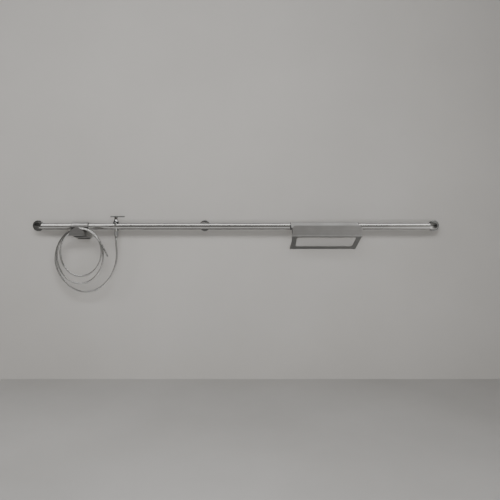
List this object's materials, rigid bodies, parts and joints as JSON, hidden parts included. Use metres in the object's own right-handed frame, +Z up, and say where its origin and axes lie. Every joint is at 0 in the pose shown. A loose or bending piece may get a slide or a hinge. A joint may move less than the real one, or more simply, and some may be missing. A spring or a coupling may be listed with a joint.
{
  "type": "wall rail with bicycle holder",
  "caption": "Wall-mounted steel rail with a hooked-on bicycle holder, a quarter-turn water tap and a wash-down hose hung on its own holder.",
  "frame": {"origin": "centre of the middle wall plate's back face, on the wall", "axes": "+X along the rail towards the bicycle holder, +Y into the wall, +Z up"},
  "size_m": [2.764, 0.23, 0.5078],
  "materials": {
    "satin_steel": "satin",
    "polished_steel": "polished",
    "sheet_steel": "satin",
    "plain_steel": "plain",
    "brass": "plain",
    "ceramic": "polished",
    "rubber": "matte",
    "black_plastic": "matte",
    "water_pipe": "gloss",
    "hose": "metallic gloss"
  },
  "bodies": {
    "root": {"rail_tube": "satin_steel", "left_elbow": "satin_steel", "right_elbow": "satin_steel", "left_wall_plate": "plain_steel", "middle_wall_plate": "plain_steel", "right_wall_plate": "plain_steel", "left_rosette": "polished_steel", "middle_rosette": "polished_steel", "right_rosette": "polished_steel", "middle_post": "satin_steel", "plate_grub_screws": "plain_steel", "feed_pipe": "water_pipe", "feed_seal": "rubber", "tap_body": "brass", "tap_collar": "polished_steel", "tap_bonnet": "polished_steel", "cartridge_housing": "brass", "cartridge_seal": "rubber", "fixed_disc": "ceramic", "outlet_nut": "polished_steel", "outlet_washer": "rubber", "hose_barb": "brass", "hose_ferrule": "polished_steel", "hose_run": "hose", "hose_coil": "hose", "hose_tail": "hose", "hose_hook": "sheet_steel", "hose_saddle": "sheet_steel", "hose_front": "sheet_steel", "hose_liner": "black_plastic", "hose_wall_pad": "rubber"},
    "tap_handle": {"handle_hub": "polished_steel", "handle_bar": "polished_steel", "handle_screw": "plain_steel", "spindle": "brass", "spindle_seals": "rubber", "turning_disc": "ceramic"},
    "glides": {"rail_glides": "black_plastic"},
    "bike_holder": {"bike_hook": "sheet_steel", "bike_frame": "sheet_steel", "trough_pad": "rubber", "bike_wall_pads": "rubber"}
  },
  "joints": [
    {"name": "tap_turn", "type": "hinge", "parent": "root", "child": "tap_handle", "pos_m": [-0.586, -0.08, 0.05], "axis": [0, 0, -1], "range_deg": [0, 90]},
    {"name": "holder_slide", "type": "slide", "parent": "root", "child": "glides", "axis": [1, 0, 0], "range_m": [-1.05, 0.45]},
    {"name": "holder_tilt", "type": "hinge", "parent": "glides", "child": "bike_holder", "pos_m": [0.801, -0.08, 0], "axis": [-1, 0, 0], "range_deg": [0, 60]}
  ]
}
